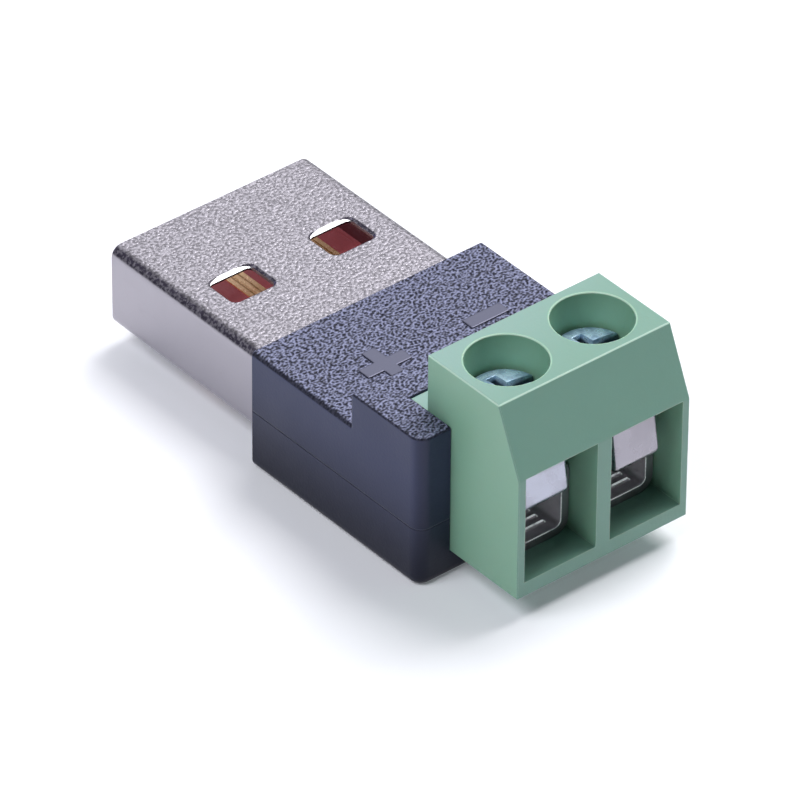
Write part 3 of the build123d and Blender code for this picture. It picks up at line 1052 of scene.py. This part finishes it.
def add_block(mesh: bmesh.types.BMesh, size: tuple, middle: tuple) -> None:
    """Add a block to a mesh.

    Args:
        mesh: the mesh.
        size: its length along each axis.
        middle: where its middle is.
    """
    made = bmesh.ops.create_cube(mesh, size=1.0)
    bmesh.ops.scale(mesh, vec=size, verts=made["verts"])
    bmesh.ops.translate(mesh, vec=middle, verts=made["verts"])


def spun(outline: list, steps: int, turns: int = 1, lead: float = 0.0) -> bmesh.types.BMesh:
    """Spin an outline round the Z axis, closed on itself or wound into a helix.

    Args:
        outline: the radius and height of each point.
        steps: steps in one turn.
        turns: how many turns.
        lead: how far it climbs in a turn.

    Returns:
        The mesh, with its doubles merged.
    """
    mesh = bmesh.new()
    points = [mesh.verts.new((radius, 0.0, height)) for radius, height in outline]
    edges = [mesh.edges.new(pair) for pair in zip(points, points[1:])]
    bmesh.ops.spin(mesh, geom=points + edges, cent=(0, 0, 0), axis=(0, 0, 1), angle=2 * math.pi * turns,
                   steps=steps * turns, dvec=(0, 0, lead / steps), use_merge=not lead)
    bmesh.ops.remove_doubles(mesh, verts=mesh.verts, dist=MERGE_DISTANCE)
    return mesh


@dataclass
class ClampScrew:
    """One clamp screw: a domed head with a slot and cross recess over a threaded shank."""

    pole: Pole
    steps: int = 48
    head_height: float = 1.5
    head_radius: float = 1.85
    edge_radius: float = 0.3
    edge_rings: int = 6
    seat_edge: float = 0.08
    dome: float = 0.2
    dome_rings: int = 5
    slot_width: float = 0.55
    slot_depth: float = 0.7
    cross_length: float = 2.2
    cutter_excess: float = 1.0
    rim_angle: float = 60.0
    rim_bevel: float = 0.035
    rim_margin: float = 0.1
    major_radius: float = 1.25
    thread_depth: float = 0.26
    pitch: float = 0.45
    crest_share: float = 0.08
    spare_turns: int = 3
    tip_length: float = 0.3
    tip_share: float = 0.72
    overlap: float = 0.05

    def _head(self, top: float) -> bmesh.types.BMesh:
        """Spin the head's outline.

        Args:
            top: height of the head's highest point.

        Returns:
            The head's mesh, in millimetres round the Z axis.
        """
        bottom = top - self.head_height
        rim = top - self.dome - self.edge_radius
        flat = self.head_radius - self.edge_radius
        outline = [(0.0, top)]
        for index in range(1, self.dome_rings):
            share = index / self.dome_rings
            outline.append((flat * share, top - self.dome * share ** 2))
        for index in range(self.edge_rings + 1):
            angle = math.pi / 2 * (1 - index / self.edge_rings)
            out, rise = self.edge_radius * math.cos(angle), self.edge_radius * math.sin(angle)
            outline.append((flat + out, rim + rise))
        outline += [(self.head_radius, bottom + self.seat_edge), (self.head_radius - self.seat_edge, bottom),
                    (0.0, bottom)]
        mesh = spun(outline, self.steps)
        bmesh.ops.recalc_face_normals(mesh, faces=mesh.faces)
        return mesh

    def _cutter(self, top: float) -> bmesh.types.BMesh:
        """Shape that is taken out of the head: a slot right across and a shorter one over it.

        Args:
            top: height of the head's highest point.

        Returns:
            The cutter's mesh.
        """
        mesh = bmesh.new()
        reach = self.slot_depth + self.cutter_excess
        across = 2 * self.head_radius + self.cutter_excess
        for length, width in ((across, self.slot_width), (self.slot_width, self.cross_length)):
            add_block(mesh, (length, width, reach), (0, 0, top - self.slot_depth + reach / 2))
        return mesh

    def _shank(self, top: float, bottom: float) -> bmesh.types.BMesh:
        """Wind the thread's outline into a helix, cut it level at both ends and taper its tip.

        Args:
            top: height of the shank's upper end.
            bottom: height of its tip.

        Returns:
            The shank's mesh.
        """
        minor = self.major_radius - self.thread_depth
        crest = self.pitch * self.crest_share
        turns = math.ceil((top - bottom) / self.pitch) + self.spare_turns
        start = bottom - self.spare_turns / 2 * self.pitch
        outline = [(minor, start), (self.major_radius, start + self.pitch / 2 - crest),
                   (self.major_radius, start + self.pitch / 2 + crest), (minor, start + self.pitch)]
        mesh = spun(outline, self.steps, turns, self.pitch)
        for height, side in ((top, 1.0), (bottom + self.tip_length, -1.0)):
            every = mesh.verts[:] + mesh.edges[:] + mesh.faces[:]
            bmesh.ops.bisect_plane(mesh, geom=every, plane_co=(0, 0, height), plane_no=(0, 0, side),
                                   clear_outer=True)
        open_edges = [edge for edge in mesh.edges if edge.is_boundary]
        tip_edges = [edge for edge in open_edges if edge.verts[0].co.z < (top + bottom) / 2]
        grown = bmesh.ops.extrude_edge_only(mesh, edges=tip_edges)["geom"]
        tip = [item for item in grown if isinstance(item, bmesh.types.BMVert)]
        bmesh.ops.translate(mesh, vec=(0, 0, -self.tip_length), verts=tip)
        bmesh.ops.scale(mesh, vec=(self.tip_share, self.tip_share, 1.0), verts=tip)
        bmesh.ops.holes_fill(mesh, edges=[edge for edge in mesh.edges if edge.is_boundary], sides=0)
        bmesh.ops.recalc_face_normals(mesh, faces=mesh.faces)
        return mesh

    def _cut_head(self, top: float) -> bmesh.types.BMesh:
        """Take the recess out of the head.

        Args:
            top: height of the head's highest point.

        Returns:
            The head's mesh with its recess.
        """
        head = object_from(self._head(top), "head_blank")
        cutter = object_from(self._cutter(top), "head_cutter")
        cut = head.modifiers.new("recess", "BOOLEAN")
        cut.operation = "DIFFERENCE"
        cut.solver = "EXACT"
        cut.use_self = True
        cut.object = cutter
        mesh = bmesh.new()
        mesh.from_mesh(head.evaluated_get(bpy.context.evaluated_depsgraph_get()).to_mesh())
        for spare in (head, cutter):
            bpy.data.objects.remove(spare)
        return mesh

    def build(self, wardrobe: Wardrobe) -> None:
        """Make the screw in its place and let it stand for the plain one.

        Args:
            wardrobe: the finishes.
        """
        node = f"clamp_screw_{self.pole.value}"
        low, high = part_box(node)
        middle = centre_of(node)
        top = high.z / MM
        mesh = self._cut_head(top)
        shank = self._shank(top - self.head_height + self.overlap, low.z / MM)
        link = bpy.data.meshes.new("shank")
        shank.to_mesh(link)
        shank.free()
        mesh.from_mesh(link)
        bpy.data.meshes.remove(link)
        recess_floor = top - self.slot_depth - self.dome + self.rim_margin
        rims = [edge for edge in mesh.edges if len(edge.link_faces) == 2
                and edge.calc_face_angle(0.0) > math.radians(self.rim_angle)
                and edge.calc_face_angle_signed(0.0) > 0
                and min(vert.co.z for vert in edge.verts) > recess_floor]
        bmesh.ops.bevel(mesh, geom=rims, offset=self.rim_bevel, offset_type="OFFSET", segments=2, profile=0.5,
                        affect="EDGES", material=-1, clamp_overlap=True)
        bmesh.ops.translate(mesh, vec=(middle.x, middle.y, 0.0), verts=mesh.verts)
        bmesh.ops.scale(mesh, vec=(MM, MM, MM), verts=mesh.verts)
        piece = object_from(mesh, f"threaded_screw_{self.pole.value}")
        wardrobe.wear(piece, "screw_zinc", f"screw_{self.pole.value}")
        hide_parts(node)


@dataclass
class Plug:
    """The plug: shell, contact carrier in two parts, four contacts and the ribs beside the tongue."""

    contacts: tuple = ("contact_vbus", "contact_data_minus", "contact_data_plus", "contact_ground")
    mouth_depth: float = 8.65
    rib_gap: float = 0.28
    rib_width: float = 0.35
    rib_height: float = 1.89
    rib_overlap: float = 0.05
    rib_edge: float = 0.08

    def _rib(self, side: Facing) -> bpy.types.Object:
        """Rib along one side of the tongue, a little lower than its top.

        Args:
            side: the side that it lies on.

        Returns:
            The rib's object.
        """
        low, high = (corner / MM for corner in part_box("contact_carrier"))
        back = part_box("plug_shell")[1].y / MM - self.mouth_depth
        sign = side.value[1]
        width, length = self.rib_width + self.rib_overlap, high.y - self.rib_gap - back
        outer = (high.x if sign > 0 else low.x) - sign * self.rib_gap
        middle = Vector((outer - sign * width / 2, back + length / 2, low.z + self.rib_height / 2))
        mesh = bmesh.new()
        add_block(mesh, (width, length, self.rib_height), middle)
        upper = [edge for edge in mesh.edges if min(vert.co.z for vert in edge.verts) > middle.z]
        bmesh.ops.bevel(mesh, geom=upper, offset=self.rib_edge, segments=2, profile=0.5, affect="EDGES",
                        material=-1)
        bmesh.ops.scale(mesh, vec=(MM, MM, MM), verts=mesh.verts)
        return object_from(mesh, f"tongue_rib_{side.name.lower()}")

    def build(self, wardrobe: Wardrobe) -> None:
        """Dress its parts and add the ribs beside the tongue.

        Args:
            wardrobe: the finishes.
        """
        for side in (Facing.LEFT, Facing.RIGHT):
            wardrobe.wear(self._rib(side), "carrier_red", "root")
        wardrobe.dress("plug_shell", "shell_steel")
        wardrobe.dress("contact_carrier", "carrier_red")
        wardrobe.dress("carrier_back", "carrier_red")
        for name in self.contacts:
            wardrobe.dress(name, "contact_gold")


@dataclass
class Housing:
    """The two moulded halves and the board with its solder between them."""

    halves: tuple = ("housing_bottom", "housing_top")
    solder: tuple = ("contact_solder", "cage_solder")

    def build(self, wardrobe: Wardrobe) -> None:
        """Dress its parts.

        Args:
            wardrobe: the finishes.
        """
        for name in self.halves:
            wardrobe.dress(name, "housing_black")
        wardrobe.dress("circuit_board", "board")
        for name in self.solder:
            wardrobe.dress(name, "solder")


@dataclass
class Terminal:
    """The moulded terminal with a cage, a wire guard and a screw for each pole."""

    poles: tuple = (Pole.POSITIVE, Pole.NEGATIVE)

    def build(self, wardrobe: Wardrobe) -> None:
        """Dress its parts and make the screws.

        Args:
            wardrobe: the finishes.
        """
        wardrobe.dress("terminal_body", "terminal_green")
        for pole in self.poles:
            wardrobe.dress(f"clamp_cage_{pole.value}", "cage_tin")
            wardrobe.dress(f"wire_guard_{pole.value}", "guard_steel")
            ClampScrew(pole).build(wardrobe)


@dataclass(frozen=True)
class Lamp:
    """A soft square light that looks at the adapter; a card shows only in glossy surfaces."""

    name: str
    direction: tuple
    power: float = 0.22
    size: float = 290.0
    colour: tuple = (0.96, 0.96, 1.0)
    card: bool = False
    distance: float = 400.0

    def hang(self) -> None:
        """Hang the light in the studio."""
        data = bpy.data.lights.new(self.name, "AREA")
        data.shape = "RECTANGLE"
        data.size = data.size_y = self.size * MM
        data.energy = self.power
        data.color = self.colour
        lamp = bpy.data.objects.new(self.name, data)
        lamp.visible_diffuse = not self.card
        towards = Vector(self.direction).normalized()
        lamp.location = towards * self.distance * MM
        lamp.rotation_euler = towards.to_track_quat("Z", "Y").to_euler()
        bpy.context.scene.collection.objects.link(lamp)


@dataclass
class Studio:
    """White table, soft light from above and behind, and the camera of the photograph."""

    azimuth: float = -39.816
    elevation: float = 36.582
    roll: float = 0.459
    distance: float = 418.52
    aim_right: float = 1.524
    aim_up: float = 0.462
    plug_face: float = 2.55
    lens: float = 402.46
    sensor: float = 36.0
    nearest: float = 10.0
    farthest: float = 10000.0
    table_size: float = 4000.0
    table_tints: tuple = ((0.87, 0.88, 0.92), (0.88, 0.89, 0.93))
    table_pattern: float = 0.01
    table_roughness: float = 0.6
    table_sheen: float = 0.2
    table_glow: float = 0.12
    table_glow_colour: tuple = (0.92, 0.95, 1.0, 1.0)
    room_colour: tuple = (0.90, 0.90, 1.0, 1.0)
    room_strength: float = 0.055
    lamps: tuple = (
        Lamp("key", (0.6, 0.08, 1.0), 1.68, 270.0, (1.0, 0.99, 0.98)),
        Lamp("left", (-0.7, 0.0, 1.0), 0.88, 200.0, (0.95, 0.96, 1.0)),
        Lamp("back", (0.48, 0.65, 0.596), 0.31),
        Lamp("front", (0.5, -0.6, 0.62), 0.04, 60.0, (0.98, 0.99, 1.0)),
        Lamp("card_left", (-0.60, 0.50, 0.50), card=True),
        Lamp("card_near", (-0.55, -0.60, 0.42), card=True),
        Lamp("card_right", (0.62, -0.50, 0.42), card=True),
        Lamp("card_far", (0.0, 0.93, 0.30), card=True))

    def _table(self) -> None:
        """Lay the white table that the adapter lies on, lit a little from below."""
        mesh = bmesh.new()
        bmesh.ops.create_grid(mesh, x_segments=1, y_segments=1, size=self.table_size / 2 * MM)
        table = object_from(mesh, "table")
        material = bpy.data.materials.new("table_white")
        material.use_nodes = True
        wiring = Wiring(material.node_tree)
        wiring.feed_all(material.node_tree.nodes["Principled BSDF"], {
            "Base Color": wiring.mix(wiring.noise(wiring.place(), self.table_pattern), *self.table_tints),
            "Roughness": self.table_roughness,
            "Specular IOR Level": self.table_sheen,
            "Emission Color": self.table_glow_colour,
            "Emission Strength": self.table_glow})
        table.data.materials.append(material)

    def _room(self) -> None:
        """Hang the lights in a dim room."""
        for lamp in self.lamps:
            lamp.hang()
        world = bpy.data.worlds.new("room")
        world.use_nodes = True
        backdrop = world.node_tree.nodes["Background"]
        backdrop.inputs["Color"].default_value = self.room_colour
        backdrop.inputs["Strength"].default_value = self.room_strength
        bpy.context.scene.world = world

    def _camera(self) -> None:
        """Put the camera where the photograph was taken from."""
        turn, rise, roll = (math.radians(value) for value in (self.azimuth, self.elevation, self.roll))
        back = Vector((math.sin(turn) * math.cos(rise), -math.cos(turn) * math.cos(rise), math.sin(rise)))
        right = (-back).cross(Vector(UPRIGHT)).normalized()
        up = right.cross(-back)
        across = right * math.cos(roll) + up * math.sin(roll)
        upward = up * math.cos(roll) - right * math.sin(roll)
        aim = across * self.aim_right + upward * self.aim_up + Vector((0, self.plug_face, 0))
        data = bpy.data.cameras.new("camera")
        data.sensor_width = self.sensor
        data.lens = self.lens
        data.clip_start = self.nearest * MM
        data.clip_end = self.farthest * MM
        camera = bpy.data.objects.new("camera", data)
        turned = Matrix((across, upward, back)).transposed().to_4x4()
        camera.matrix_world = Matrix.Translation((aim + back * self.distance) * MM) @ turned
        bpy.context.scene.collection.objects.link(camera)
        bpy.context.scene.camera = camera

    def build(self) -> None:
        """Set up the studio."""
        self._table()
        self._room()
        self._camera()
        settings = bpy.context.scene.view_settings
        settings.view_transform = "Standard"
        settings.look = "None"
        settings.exposure = 0.0
        log.info("studio ready")


def main() -> None:
    """Dress the adapter, piece by piece, and set up the studio."""
    logging.basicConfig(level=logging.INFO, format="%(name)s: %(message)s")
    wardrobe = Wardrobe()
    wardrobe.build()
    for assembly in (Plug(), Housing(), Terminal()):
        assembly.build(wardrobe)
        log.info("%s built", type(assembly).__name__)
    Studio().build()


if __name__ == "__main__":
    main()
